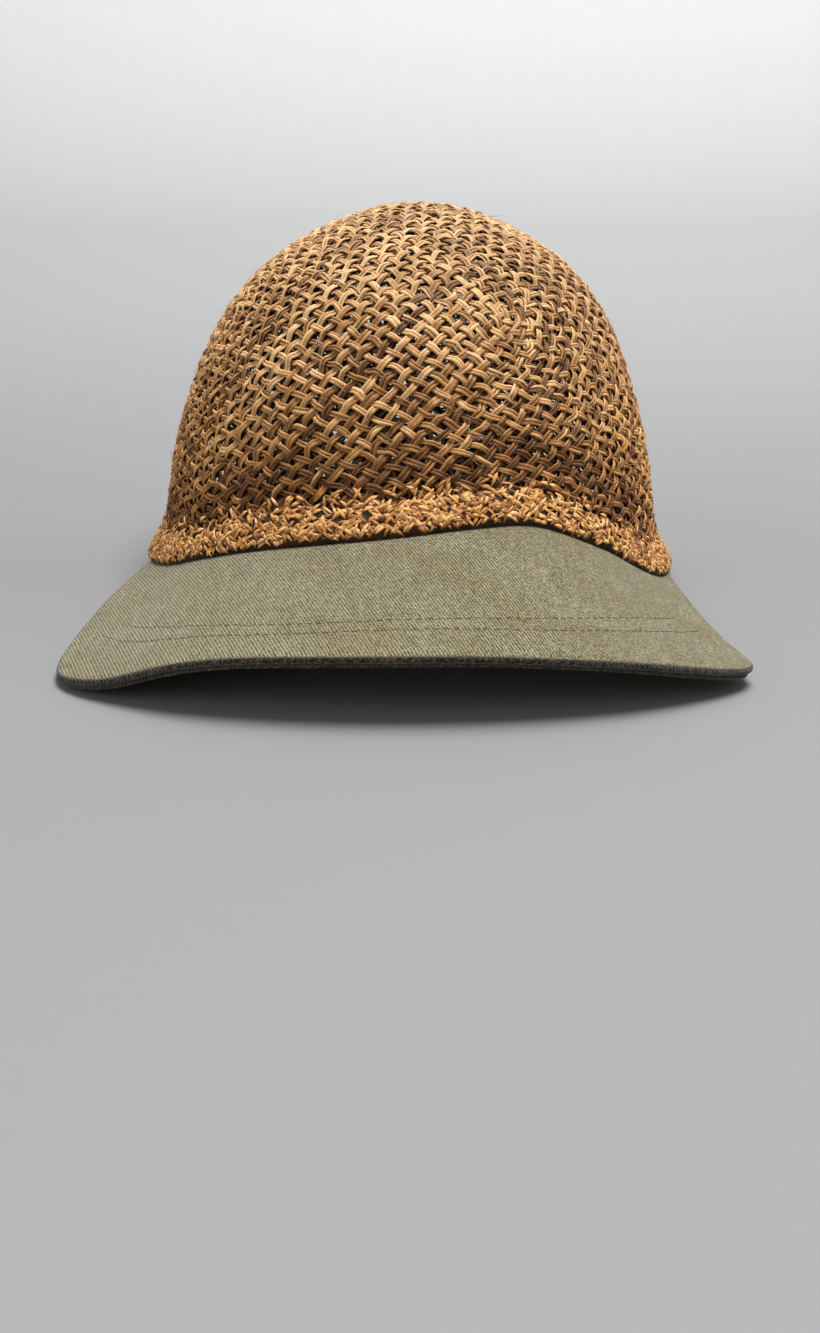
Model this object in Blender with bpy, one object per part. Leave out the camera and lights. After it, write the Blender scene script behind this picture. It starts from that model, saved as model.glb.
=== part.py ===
"""Straw baseball cap: a woven straw crown with its edge turned up, and a stiff twill peak.

The cap stands as it does on a table: the back of its rim and the left front corner of its peak touch
z = 0. X runs across the cap, -Y is its front and +Z is up. Lengths are metres and angles are degrees.
Angles round the crown start at the middle of the front and grow towards +X.
"""
import math

import bmesh
import bpy
from mathutils import Vector

# Crown: outside sizes at the rim, and the straw's thickness
CROWN_WIDTH = 0.168
CROWN_LENGTH = 0.198
CROWN_HEIGHT = 0.1205
CROWN_LEAN = 0.0026
STRAW_WALL = 0.0018
FRONT_ROUNDNESS = 2.15
BACK_ROUNDNESS = 2.3
DENT_DEPTH = 0.0022

# Hem: the crown's edge turned up on the outside
HEM_HEIGHT = 0.0085
HEM_WALL = 0.0019
HEM_FLARE = 0.0034
FLARE_REACH = 0.016

# Peak: a board in twill that is wrapped round its edge, and the cloth under it
PEAK_OVERHANG = 0.010
PEAK_LENGTH = 0.074
PEAK_ARCH = 0.034
PEAK_BOARD = 0.0027
UNDERSIDE_CLOTH = 0.0008
UNDERSIDE_MARGIN = 0.0011
SEAM_FALL = 0.65
PEAK_END_ANGLE = 72.0
PEAK_END_COVER = 0.6
RIM_LEVEL_ANGLE = 96.0

# Clearances between the pieces
CLOTH_GAP = 0.0003
HEM_GAP = 0.0003
SEAM_GAP = 0.0004

# How finely the solids are cut into faces
FRONT_COLUMNS = 48
BACK_COLUMNS = 36
CROWN_RINGS = 14
PEAK_ROWS = 8
EDGE_STEPS = 4
OUTLINE_SAMPLES = 240
HEM_LEVELS = (0.5, 1.0)
SLOPE_STEP = 0.0005
SHARP_ANGLE = 50.0

# How often the searches below are repeated, enough for a thousandth of a millimetre
LEVEL_HALVINGS = 40
RIM_ROUNDS = 4

# Sections of the crown from the rim to the top, as shares of its height, width and length
CROWN_SECTIONS = (
    # height, side, front, back
    (0.000, 1.000, 1.000, 1.000),
    (0.191, 0.980, 0.988, 0.985),
    (0.375, 0.937, 0.955, 0.945),
    (0.545, 0.860, 0.893, 0.880),
    (0.695, 0.764, 0.800, 0.795),
    (0.819, 0.625, 0.655, 0.660),
    (0.914, 0.430, 0.452, 0.465),
    (0.978, 0.212, 0.222, 0.230),
    (1.000, 0.000, 0.000, 0.000),
)

# Soft dents of the crown: where each is deepest, its share of DENT_DEPTH and how far it spreads
CROWN_DENTS = (
    # angle, height share, depth share, angle spread, height spread
    (-58.0, 0.80, 0.55, 30.0, 0.16),
    (24.0, 0.36, 0.60, 34.0, 0.15),
    (-24.0, 0.38, 0.35, 30.0, 0.12),
    (152.0, 0.50, 1.00, 36.0, 0.20),
)

# How far the hem stands out round the crown, as shares of HEM_FLARE
FLARE_ROUND = (
    # angle, flare
    (-180.0, 0.35),
    (-120.0, 0.45),
    (-84.0, 0.90),
    (-66.0, 1.00),
    (-40.0, 0.60),
    (0.0, 0.55),
    (40.0, 0.60),
    (66.0, 1.00),
    (84.0, 0.90),
    (120.0, 0.45),
    (180.0, 0.35),
)

# The hem's outer face from its top to its foot, as shares of its height and wall
HEM_FACE = (
    # up, out
    (1.00, 0.30),
    (0.74, 0.66),
    (0.34, 0.94),
    (0.00, 1.00),
)

# Arch of the peak's top: shares of half the peak's width, and of PEAK_ARCH at the crown and in front
PEAK_ARCH_ROWS = (
    # across, crown, front
    (-1.030, 0.010, -0.030),
    (-0.950, 0.085, 0.005),
    (-0.820, 0.240, 0.070),
    (-0.700, 0.410, 0.212),
    (-0.570, 0.555, 0.325),
    (-0.430, 0.660, 0.380),
    (-0.250, 0.740, 0.418),
    (0.000, 0.815, 0.435),
    (0.200, 0.872, 0.424),
    (0.360, 0.884, 0.375),
    (0.450, 0.815, 0.340),
    (0.540, 0.695, 0.310),
    (0.640, 0.535, 0.262),
    (0.750, 0.285, 0.205),
    (0.860, 0.060, 0.155),
    (0.950, 0.005, 0.095),
    (1.030, -0.020, 0.050),
)

# Outline of the peak seen from above, between its two ends under the hem: shares of half its width,
# and of its reach from the crown's middle
PEAK_OUTLINE = (
    # across, forward
    (-0.957, 0.275),
    (-0.998, 0.385),
    (-1.020, 0.540),
    (-1.030, 0.690),
    (-1.012, 0.788),
    (-0.955, 0.842),
    (-0.835, 0.890),
    (-0.600, 0.951),
    (-0.300, 0.989),
    (0.000, 1.000),
    (0.300, 0.989),
    (0.590, 0.951),
    (0.800, 0.895),
    (0.925, 0.846),
    (0.978, 0.800),
    (0.966, 0.742),
    (0.936, 0.650),
    (0.918, 0.500),
    (0.910, 0.350),
)

HALF_PEAK = CROWN_WIDTH / 2 + PEAK_OVERHANG
PEAK_REACH = CROWN_LENGTH / 2 + PEAK_LENGTH

STRAW_COLOUR = (0.52, 0.27, 0.11, 1.0)
TWILL_COLOUR = (0.17, 0.17, 0.10, 1.0)
UNDERSIDE_COLOUR = (0.13, 0.13, 0.08, 1.0)
STRAW_ROUGHNESS = 0.7
TWILL_ROUGHNESS = 0.9


def clear_scene():
    for item in list(bpy.data.objects):
        bpy.data.objects.remove(item, do_unlink=True)


def cloth_material(name, colour, roughness):
    material = bpy.data.materials.new(name)
    material.use_nodes = True
    shader = material.node_tree.nodes["Principled BSDF"]
    shader.inputs["Base Color"].default_value = colour
    shader.inputs["Roughness"].default_value = roughness
    shader.inputs["Metallic"].default_value = 0.0
    return material


def bend_through(before, start, end, after, share):
    """One value of the smooth curve that runs through four neighbouring values."""
    return 0.5 * (
        2 * start
        + (end - before) * share
        + (2 * before - 5 * start + 4 * end - after) * share ** 2
        + (3 * start - before - 3 * end + after) * share ** 3
    )


def read_table(rows, place):
    """Values of a table whose first column grows, read smoothly at a place in that column."""
    place = min(max(place, rows[0][0]), rows[-1][0])
    last = len(rows) - 2
    index = 0
    while index < last and place > rows[index + 1][0]:
        index += 1
    start, end = rows[index], rows[index + 1]
    before = rows[max(index - 1, 0)]
    after = rows[min(index + 2, last + 1)]
    width = end[0] - start[0]
    share = (place - start[0]) / width
    values = []
    for column in range(1, len(start)):
        slope_in = (end[column] - before[column]) / (end[0] - before[0])
        slope_out = (after[column] - start[column]) / (after[0] - start[0])
        rise = end[column] - start[column]
        values.append(
            start[column]
            + share * width * slope_in
            + share ** 2 * (3 * rise - (2 * slope_in + slope_out) * width)
            + share ** 3 * ((slope_in + slope_out) * width - 2 * rise)
        )
    return values


def crown_section(level):
    """Height, side, front and back shares at a level from 0, the rim, to 1, the top."""
    spans = len(CROWN_SECTIONS) - 1
    position = min(max(level, 0.0), 1.0) * spans
    index = min(int(position), spans - 1)
    start, end = CROWN_SECTIONS[index], CROWN_SECTIONS[index + 1]
    if index == 0:
        before = tuple(2 * a - b for a, b in zip(start, end))
    else:
        before = CROWN_SECTIONS[index - 1]
    if index == spans - 1:
        # past the top the section is mirrored, so that the dome is level there
        after = (start[0],) + tuple(-share for share in start[1:])
    else:
        after = CROWN_SECTIONS[index + 2]
    return [bend_through(*values, position - index) for values in zip(before, start, end, after)]


def level_at(height_share):
    """The level whose section lies at a share of the crown's height."""
    low, high = 0.0, 1.0
    for _ in range(LEVEL_HALVINGS):
        middle = (low + high) / 2
        if crown_section(middle)[0] < height_share:
            low = middle
        else:
            high = middle
    return (low + high) / 2


def plan_normal(angle):
    """The direction that faces away from the crown, seen from above."""
    turn = math.radians(angle)
    return Vector((math.sin(turn) * CROWN_LENGTH, -math.cos(turn) * CROWN_WIDTH, 0)).normalized()


def dent_at(angle, height_share):
    depth = 0.0
    for dent_angle, dent_height, share, angle_spread, height_spread in CROWN_DENTS:
        aside = (angle - dent_angle + 180.0) % 360.0 - 180.0
        away = (aside / angle_spread) ** 2 + ((height_share - dent_height) / height_spread) ** 2
        depth += share * DENT_DEPTH * math.exp(-away)
    return depth


def crown_point(angle, level, inset=0.0):
    """A point of the crown's skin, without its flare. The inset gives the inner skin."""
    height, side, front, back = crown_section(level)
    turn = math.radians(angle)
    across, ahead = math.sin(turn), math.cos(turn)
    roundness = FRONT_ROUNDNESS if ahead > 0 else BACK_ROUNDNESS
    fill = (abs(across) ** roundness + abs(ahead) ** roundness) ** (-1 / roundness)
    point = Vector((
        (CROWN_WIDTH / 2 - inset) * side * across * fill + CROWN_LEAN * height ** 2,
        -(CROWN_LENGTH / 2 - inset) * (front if ahead > 0 else back) * ahead * fill,
        (CROWN_HEIGHT - inset) * height,
    ))
    return point - plan_normal(angle) * dent_at(angle, height)


def seam_forward(x):
    """About how far the crown's rim reaches forward, seen from above, at a place across the cap."""
    return CROWN_LENGTH / 2 * (1 - SEAM_FALL * (2 * x / CROWN_WIDTH) ** 2)


def peak_top(x, y, lift):
    """Height of the peak's upper face. Its board is bent along lines that run from back to front."""
    at_crown, in_front = read_table(PEAK_ARCH_ROWS, x / HALF_PEAK)
    seam = seam_forward(x)
    forward = (-y - seam) / (PEAK_REACH - seam)
    return lift + PEAK_ARCH * (at_crown + (in_front - at_crown) * forward)


def peak_normal(x, y):
    """The direction that faces up from the peak."""
    slope_x = (peak_top(x + SLOPE_STEP, y, 0) - peak_top(x - SLOPE_STEP, y, 0)) / (2 * SLOPE_STEP)
    slope_y = (peak_top(x, y + SLOPE_STEP, 0) - peak_top(x, y - SLOPE_STEP, 0)) / (2 * SLOPE_STEP)
    return Vector((-slope_x, -slope_y, 1)).normalized()


def peak_cover(angle):
    """1 where the rim lies on the peak, falling to 0 where the rim is level with the table."""
    share = (RIM_LEVEL_ANGLE - abs(angle)) / (RIM_LEVEL_ANGLE - PEAK_END_ANGLE)
    share = min(max(share, 0.0), 1.0)
    return share * share * (3 - 2 * share)


def rim_height(angle, x, y, lift):
    return peak_cover(angle) * (peak_top(x, y, lift) + SEAM_GAP)


def flare_at(angle, above_rim):
    left = max(1 - above_rim / FLARE_REACH, 0.0)
    return read_table(FLARE_ROUND, angle)[0] * HEM_FLARE * left ** 2


def rim_point(angle, inset, lift):
    """The foot of the crown's skin, which lies on the peak in front and on the table behind."""
    foot = crown_point(angle, 0.0, inset)
    for _ in range(RIM_ROUNDS):
        height = rim_height(angle, foot.x, foot.y, lift)
        level = level_at(height / (CROWN_HEIGHT - inset))
        foot = crown_point(angle, level, inset) + plan_normal(angle) * flare_at(angle, 0.0)
    foot.z = rim_height(angle, foot.x, foot.y, lift)
    return foot


def skin_above(angle, inset, foot, above_rim):
    """A point of the crown's skin at a height above its foot."""
    level = level_at((foot.z + above_rim) / (CROWN_HEIGHT - inset))
    point = crown_point(angle, level, inset)
    return point + plan_normal(angle) * flare_at(angle, above_rim)


def skin_column(angle, inset, lift):
    """The crown's skin from its foot up to just below the top."""
    foot = rim_point(angle, inset, lift)
    points = [foot]
    for up in HEM_LEVELS:
        points.append(skin_above(angle, inset, foot, up * HEM_HEIGHT))
    first = level_at(points[-1].z / (CROWN_HEIGHT - inset))
    for ring in range(1, CROWN_RINGS):
        level = first + (1 - first) * ring / CROWN_RINGS
        height = crown_section(level)[0] * (CROWN_HEIGHT - inset)
        flare = plan_normal(angle) * flare_at(angle, height - foot.z)
        points.append(crown_point(angle, level, inset) + flare)
    return points


def crown_angles():
    """Columns of the crown. Those in front are the peak's too, so that the two meet along the seam."""
    front = [
        -PEAK_END_ANGLE + 2 * PEAK_END_ANGLE * column / FRONT_COLUMNS
        for column in range(FRONT_COLUMNS + 1)
    ]
    behind = 360.0 - 2 * PEAK_END_ANGLE
    back = [PEAK_END_ANGLE + behind * column / BACK_COLUMNS for column in range(1, BACK_COLUMNS)]
    return front + [(angle + 180.0) % 360.0 - 180.0 for angle in back]


def add_object(name, bm, material, parent):
    bmesh.ops.recalc_face_normals(bm, faces=bm.faces)
    mesh = bpy.data.meshes.new(name)
    bm.to_mesh(mesh)
    bm.free()
    mesh.shade_smooth()
    mesh.set_sharp_from_angle(angle=math.radians(SHARP_ANGLE))
    mesh.materials.append(material)
    item = bpy.data.objects.new(name, mesh)
    bpy.context.scene.collection.objects.link(item)
    item.parent = parent
    return item


def add_columns(bm, columns):
    return [[bm.verts.new(point) for point in column] for column in columns]


def face_between(bm, first, second, closed):
    """Four-sided faces between two columns of points, each column open or closed."""
    count = len(first)
    for index in range(count if closed else count - 1):
        following = (index + 1) % count
        bm.faces.new((first[index], second[index], second[following], first[following]))


def build_crown(material, parent, lift):
    bm = bmesh.new()
    angles = crown_angles()
    outer = add_columns(bm, [skin_column(angle, 0.0, lift) for angle in angles])
    inner = add_columns(bm, [skin_column(angle, STRAW_WALL, lift) for angle in angles])
    outer_top = bm.verts.new(crown_point(0.0, 1.0))
    inner_top = bm.verts.new(crown_point(0.0, 1.0, STRAW_WALL))
    for index in range(len(angles)):
        beside = (index + 1) % len(angles)
        face_between(bm, outer[index], outer[beside], closed=False)
        face_between(bm, inner[beside], inner[index], closed=False)
        bm.faces.new((outer[index][-1], outer[beside][-1], outer_top))
        bm.faces.new((inner[beside][-1], inner[index][-1], inner_top))
        bm.faces.new((inner[index][0], inner[beside][0], outer[beside][0], outer[index][0]))
    return add_object("crown", bm, material, parent)


def hem_column(angle, lift):
    """A closed section of the hem: up its inner face, which lies on the crown, and down its outer one."""
    foot = rim_point(angle, 0.0, lift)
    outward = plan_normal(angle)
    points = []
    inner_face = ((0.0, 0.0),) + tuple((up, 0.0) for up in HEM_LEVELS)
    for up, out in inner_face + HEM_FACE:
        if up == 0:
            point = foot + outward * (HEM_GAP + out * HEM_WALL)
            point.z = rim_height(angle, point.x, point.y, lift)
        else:
            point = skin_above(angle, 0.0, foot, up * HEM_HEIGHT)
            point += outward * (HEM_GAP + out * HEM_WALL)
        points.append(point)
    return points


def build_hem(material, parent, lift):
    bm = bmesh.new()
    columns = add_columns(bm, [hem_column(angle, lift) for angle in crown_angles()])
    for index, column in enumerate(columns):
        face_between(bm, column, columns[(index + 1) % len(columns)], closed=True)
    return add_object("crown_hem", bm, material, parent)


def peak_end(angle, lift):
    """Where the peak's outline comes out from under the hem."""
    foot = rim_point(angle, 0.0, lift) + plan_normal(angle) * (HEM_GAP + PEAK_END_COVER * HEM_WALL)
    return Vector((foot.x, foot.y))


def outline_samples(lift):
    """Close points along the peak's outline, from its left end round the front to its right end."""
    places = [Vector((across * HALF_PEAK, -forward * PEAK_REACH)) for across, forward in PEAK_OUTLINE]
    places = [peak_end(-PEAK_END_ANGLE, lift)] + places + [peak_end(PEAK_END_ANGLE, lift)]
    spans = len(places) - 1
    samples = []
    for step in range(OUTLINE_SAMPLES + 1):
        position = step / OUTLINE_SAMPLES * spans
        index = min(int(position), spans - 1)
        start, end = places[index], places[index + 1]
        before = places[max(index - 1, 0)]
        after = places[min(index + 2, spans)]
        samples.append(bend_through(before, start, end, after, position - index))
    return samples


def outline_at(samples, share):
    """Place and outward direction at a share of the way along the outline."""
    position = min(max(share, 0.0), 1.0) * (len(samples) - 1)
    index = min(int(position), len(samples) - 2)
    start, end = samples[index], samples[index + 1]
    tangent = (end - start).normalized()
    return start.lerp(end, position - index), Vector((tangent.y, -tangent.x))


def peak_section(angle, samples, lift, depth, thickness, margin):
    """One closed section of a layer of the peak, from the crown out, round the edge and back.

    The layer lies a depth below the peak's upper face, and its edge lies a margin inside the outline.
    """
    share = (angle + PEAK_END_ANGLE) / (2 * PEAK_END_ANGLE)
    edge, outward = outline_at(samples, share)
    root = rim_point(angle, STRAW_WALL, lift)
    round_radius = thickness / 2
    inner_edge = edge - outward * (margin + round_radius)
    top, bottom = [], []
    for row in range(PEAK_ROWS + 1):
        place = Vector((root.x, root.y)).lerp(inner_edge, row / PEAK_ROWS)
        up = peak_normal(place.x, place.y)
        face = Vector((place.x, place.y, peak_top(place.x, place.y, lift)))
        top.append(face - up * depth)
        bottom.append(face - up * (depth + thickness))
    along = Vector((outward.x, outward.y, 0))
    along = (along - up * along.dot(up)).normalized()
    middle = (top[-1] + bottom[-1]) / 2
    rounding = []
    for step in range(1, EDGE_STEPS):
        turn = math.pi * step / EDGE_STEPS
        rounding.append(middle + (up * math.cos(turn) + along * math.sin(turn)) * round_radius)
    return top + rounding + bottom[::-1]


def peak_angles():
    return crown_angles()[:FRONT_COLUMNS + 1]


def build_peak_layer(name, material, parent, lift, depth, thickness, margin):
    bm = bmesh.new()
    samples = outline_samples(lift)
    sections = [
        peak_section(angle, samples, lift, depth, thickness, margin) for angle in peak_angles()
    ]
    columns = add_columns(bm, sections)
    for start, end in zip(columns, columns[1:]):
        face_between(bm, start, end, closed=True)
    for end_loop in (columns[0], columns[-1]):
        count = len(end_loop)
        for index in range(count // 2 - 1):
            quad = (end_loop[index], end_loop[index + 1], end_loop[-index - 2], end_loop[-index - 1])
            bm.faces.new(quad)
        if count % 2:
            middle = count // 2
            bm.faces.new((end_loop[middle - 1], end_loop[middle], end_loop[middle + 1]))
    return add_object(name, bm, material, parent)


def lift_to_table():
    """How high the peak's arch starts, so that the lowest point under the peak is at z = 0."""
    samples = outline_samples(0.0)
    depth = PEAK_BOARD + CLOTH_GAP
    lowest = 0.0
    for angle in peak_angles():
        section = peak_section(angle, samples, 0.0, depth, UNDERSIDE_CLOTH, UNDERSIDE_MARGIN)
        lowest = min(lowest, min(point.z for point in section))
    return -lowest


def centre_on_base(parent, pieces):
    """Move the cap so that the origin is under the middle of its box."""
    corners = [vertex.co for piece in pieces for vertex in piece.data.vertices]
    for axis in (0, 1):
        values = [corner[axis] for corner in corners]
        parent.location[axis] = -(min(values) + max(values)) / 2


def build_cap():
    clear_scene()
    straw = cloth_material("straw", STRAW_COLOUR, STRAW_ROUGHNESS)
    twill = cloth_material("twill", TWILL_COLOUR, TWILL_ROUGHNESS)
    underside = cloth_material("underside_cloth", UNDERSIDE_COLOUR, TWILL_ROUGHNESS)
    cap = bpy.data.objects.new("cap", None)
    bpy.context.scene.collection.objects.link(cap)
    lift = lift_to_table()
    pieces = [
        build_crown(straw, cap, lift),
        build_hem(straw, cap, lift),
        build_peak_layer("peak", twill, cap, lift, 0.0, PEAK_BOARD, 0.0),
        build_peak_layer(
            "peak_underside", underside, cap, lift,
            PEAK_BOARD + CLOTH_GAP, UNDERSIDE_CLOTH, UNDERSIDE_MARGIN,
        ),
    ]
    centre_on_base(cap, pieces)
    return pieces


build_cap()
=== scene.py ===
# %% [markdown]
# A straw baseball cap, dressed around its CAD solids.
# The real cap has three things to look at: an open hood plaited from tan straw, a thick hem where the
# straw is turned up, and a stiff peak covered in olive twill with two rows of machine stitches.
# Each step below says what the piece is on the real cap, how it could be made, and why this way won.

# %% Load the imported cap
import math

import bmesh
import bpy
import numpy as np
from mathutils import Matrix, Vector
from mathutils.bvhtree import BVHTree


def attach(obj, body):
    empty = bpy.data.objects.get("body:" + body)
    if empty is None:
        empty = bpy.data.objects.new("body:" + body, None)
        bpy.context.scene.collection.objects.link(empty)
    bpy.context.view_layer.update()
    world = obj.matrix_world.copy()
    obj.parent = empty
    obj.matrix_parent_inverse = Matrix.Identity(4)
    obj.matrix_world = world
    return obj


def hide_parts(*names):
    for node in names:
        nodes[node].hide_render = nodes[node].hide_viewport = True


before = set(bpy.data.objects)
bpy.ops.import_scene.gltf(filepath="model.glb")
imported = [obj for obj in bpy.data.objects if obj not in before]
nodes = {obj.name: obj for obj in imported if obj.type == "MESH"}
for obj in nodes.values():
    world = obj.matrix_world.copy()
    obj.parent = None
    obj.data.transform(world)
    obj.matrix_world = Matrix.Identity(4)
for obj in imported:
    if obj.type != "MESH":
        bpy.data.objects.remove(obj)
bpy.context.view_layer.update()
MM = 0.001

# %% [markdown]
# The camera stands about half a metre in front of the cap, at the height of its crown, and is tilted down
# by almost 18 degrees. It looks straight along the cap's length, so it needs no turn and no shift. A long
# lens keeps the crown from swelling. The camera comes first because every later choice of detail is judged
# through it.

# %% Camera
CAMERA_PLACE = (0.0024, -0.5084, 0.1344)
CAMERA_TILT = 17.69
LENS_PIXELS = 1599.0
PHOTO_WIDTH = 820.0
SENSOR = 36.0


def put_in_scene(name, data):
    thing = bpy.data.objects.new(name, data)
    bpy.context.scene.collection.objects.link(thing)
    return thing


camera_data = bpy.data.cameras.new("camera")
camera_data.sensor_fit = "HORIZONTAL"
camera_data.sensor_width = SENSOR
camera_data.lens = LENS_PIXELS / PHOTO_WIDTH * SENSOR
camera = put_in_scene("camera", camera_data)
camera.location = CAMERA_PLACE
camera.rotation_euler = (math.radians(90 - CAMERA_TILT), 0, 0)
bpy.context.scene.camera = camera
print("lens", round(camera_data.lens, 1), "mm")

# %% [markdown]
# The hood has to lie exactly on the CAD crown, which is only a set of triangles. Rays are cast at it from
# all round, towards one point inside, and the distances go into a table. Any point near the crown can then
# be put on its outer face by one look into the table, which is much quicker than casting a ray each time.
# Below the crown's foot the table goes straight down, so that the plait can run on past the edge and be
# trimmed there, as a hatter trims it.

# %% Feel the outer face of the crown
INSIDE = np.array([3.4, 35.2, 15.0])
RAY_START = 300.0
RAY_STOP = 30.0
AROUND = np.radians(np.arange(-180.0, 180.1, 2.0))
UPWARD = np.radians(np.arange(-24.0, 90.1, 0.5))
ARC_STEPS = np.arange(0.0, 240.0, 1.0)


def triangles_of(node):
    mesh = nodes[node].data
    return [v.co[:] for v in mesh.vertices], [p.vertices[:] for p in mesh.polygons]


def towards(around, upward):
    flat = np.cos(upward)
    return np.stack([np.sin(around) * flat, -np.cos(around) * flat, np.sin(upward)], -1)


def feel_crown():
    tree = BVHTree.FromPolygons(*triangles_of("crown"))
    reach = np.zeros((len(AROUND), len(UPWARD)))
    foot = np.zeros(len(AROUND))
    for i, around in enumerate(AROUND):
        lowest = len(UPWARD) - 1
        for j in range(len(UPWARD) - 1, -1, -1):
            out = towards(around, UPWARD[j])
            start = (INSIDE + out * RAY_START) * MM
            hit = tree.ray_cast(Vector(start), Vector(-out), (RAY_START - RAY_STOP) * MM)[0]
            if hit is None:
                break
            reach[i, j] = np.linalg.norm(np.array(hit) / MM - INSIDE)
            lowest = j
        across = reach[i, lowest] * math.cos(UPWARD[lowest])
        foot[i] = INSIDE[2] + across * math.tan(UPWARD[lowest])
        reach[i, :lowest] = across / np.cos(UPWARD[:lowest])
    return reach, foot


crown_reach, crown_foot = feel_crown()
print("crown's foot lies", crown_foot.min().round(1), "to", crown_foot.max().round(1), "mm up")

# %% Put points on the crown
INSIDE_LAST_CELL = 1.001


def bearings(points):
    out = points - INSIDE
    around = np.arctan2(out[..., 0], -out[..., 1])
    upward = np.arctan2(out[..., 2], np.hypot(out[..., 0], out[..., 1]))
    return around, upward


def blend_cells(table, row, column):
    i = np.clip(row.astype(int), 0, table.shape[0] - 2)
    j = np.clip(column.astype(int), 0, table.shape[1] - 2)
    fi = row - i
    fj = np.clip(column - j, 0, 1)
    if table.ndim == 3:
        fi = fi[..., None]
        fj = fj[..., None]
    low = table[i, j] * (1 - fj) + table[i, j + 1] * fj
    high = table[i + 1, j] * (1 - fj) + table[i + 1, j + 1] * fj
    return low * (1 - fi) + high * fi


def row_at(around):
    return (around - AROUND[0]) / (AROUND[1] - AROUND[0])


def onto_crown(points):
    around, upward = bearings(points)
    column = (upward - UPWARD[0]) / (UPWARD[1] - UPWARD[0])
    column = np.clip(column, 0, len(UPWARD) - INSIDE_LAST_CELL)
    reach = blend_cells(crown_reach, row_at(around), column)
    out = points - INSIDE
    return INSIDE + out * (reach / np.linalg.norm(out, axis=-1))[..., None]


def foot_below(points):
    around = bearings(points)[0]
    return np.interp(around, AROUND, crown_foot)


def arc_along(points):
    return np.concatenate([[0.0], np.cumsum(np.linalg.norm(np.diff(points, axis=0), axis=1))])


def read_along(far, arc, values):
    return np.stack([np.interp(far, arc, column) for column in values.T], -1)


def lines_from_top():
    lines = []
    for i, around in enumerate(AROUND):
        out = towards(np.full(len(UPWARD), around), UPWARD)[::-1]
        points = INSIDE + out * crown_reach[i, ::-1, None]
        lines.append(read_along(ARC_STEPS, arc_along(points), points))
    return np.array(lines)


crown_lines = lines_from_top()


def from_top(around, arc):
    arc = np.clip(arc, 0, len(ARC_STEPS) - INSIDE_LAST_CELL)
    return blend_cells(crown_lines, row_at(around), arc)


back_length = np.interp(-crown_foot[0], -crown_lines[0][:, 2], ARC_STEPS)
print("from the top to the foot at the back:", back_length.round(1), "mm")

# %% [markdown]
# A straw hood is plaited like a basket. It starts as a flat square mat on top of the head. Where the crown
# turns down, the maker leaves out four wedges of the mat and joins their sides, so that the strands of one
# family turn into the other. Below those four corners the number of strands stays the same, and the plait
# runs round the wall like a screw. Drawing strands as rings and spokes would look like a woven basket and
# crowd at the top, so the real net is copied: crossings of a mat, with four wedges cut out and glued.

# %% Lay out the crossings of the mat
WEDGE_A = 8
WEDGE_B = 21
MAT_REACH = 62
STEPS = ((1, 0), (0, 1), (-1, 0), (0, -1))


def quarter_turns(a, b, count):
    for _ in range(count % 4):
        a, b = -b, a
    return a, b


def in_wedge(a, b):
    for wedge in range(4):
        ra, rb = quarter_turns(a, b, 4 - wedge)
        if ra > WEDGE_A and rb > WEDGE_B:
            return wedge
    return None


def glue(a, b, side, wedge):
    ra, rb = quarter_turns(a, b, 4 - wedge)
    if (side - wedge) % 4 == 0:
        place = (WEDGE_A + rb - WEDGE_B, WEDGE_B - 0.5)
        return quarter_turns(*place, wedge), 3
    place = (WEDGE_A - 0.5, WEDGE_B + ra - WEDGE_A)
    return quarter_turns(*place, wedge), 1


def lay_mat():
    halves = [i + 0.5 for i in range(-MAT_REACH, MAT_REACH)]
    places = [(a, b) for a in halves for b in halves if in_wedge(a, b) is None]
    number = {place: k for k, place in enumerate(places)}
    beside = -np.ones((len(places), 4), int)
    turned = np.zeros((len(places), 4), int)
    for (a, b), k in number.items():
        for side, (da, db) in enumerate(STEPS):
            goal = (a + da, b + db)
            wedge = in_wedge(*goal)
            if wedge is not None:
                goal, turned[k, side] = glue(a, b, side, wedge)
            beside[k, side] = number.get(goal, -1)
    return np.array(places), beside, turned


mat_places, mat_beside, mat_turned = lay_mat()
print("crossings in the whole mat:", len(mat_places))

# %% [markdown]
# Each crossing first gets a rough place on the crown: the middle of the mat is laid out like a map of the
# pole, and the four arms below the wedges are wrapped round the wall, each over a quarter of it. The rows
# are close together high on the wall and further apart near the foot, where the hood was pulled down over
# the block. Crossings well below the foot are dropped at once.

# %% Wrap the mat round the crown
PITCH = 3.7
ROW_DROP_TOP = 1.75
ROW_DROP_FOOT = 3.2
ROWS_TO_FOOT = 26
ROW_LEAN = 2.75
ROW_STEP = 4.75
WALL_RADIUS = 91.0
ARM_FADE = 4.0
BELOW_FOOT = 15.0
NOT_ON_WALL = -99.0


def arm_of(places):
    a, b = places[:, 0], places[:, 1]
    arm = np.zeros(len(a), int)
    below = np.full(len(a), NOT_ON_WALL)
    share = np.zeros(len(a))
    for wedge in range(4):
        ra, rb = quarter_turns(a, b, 4 - wedge)
        w = (rb + WEDGE_A) / (WEDGE_A + WEDGE_B)
        t = ra - (WEDGE_B + (WEDGE_A - WEDGE_B) * w)
        here = (w >= 0) & (w <= 1) & (ra > 0) & (t > -ARM_FADE)
        arm[here] = wedge
        below[here] = t[here]
        share[here] = w[here]
    return arm, below, share


def drop_at(below):
    return ROW_DROP_TOP + (ROW_DROP_FOOT - ROW_DROP_TOP) * np.clip(below / ROWS_TO_FOOT, 0, 1)


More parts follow.
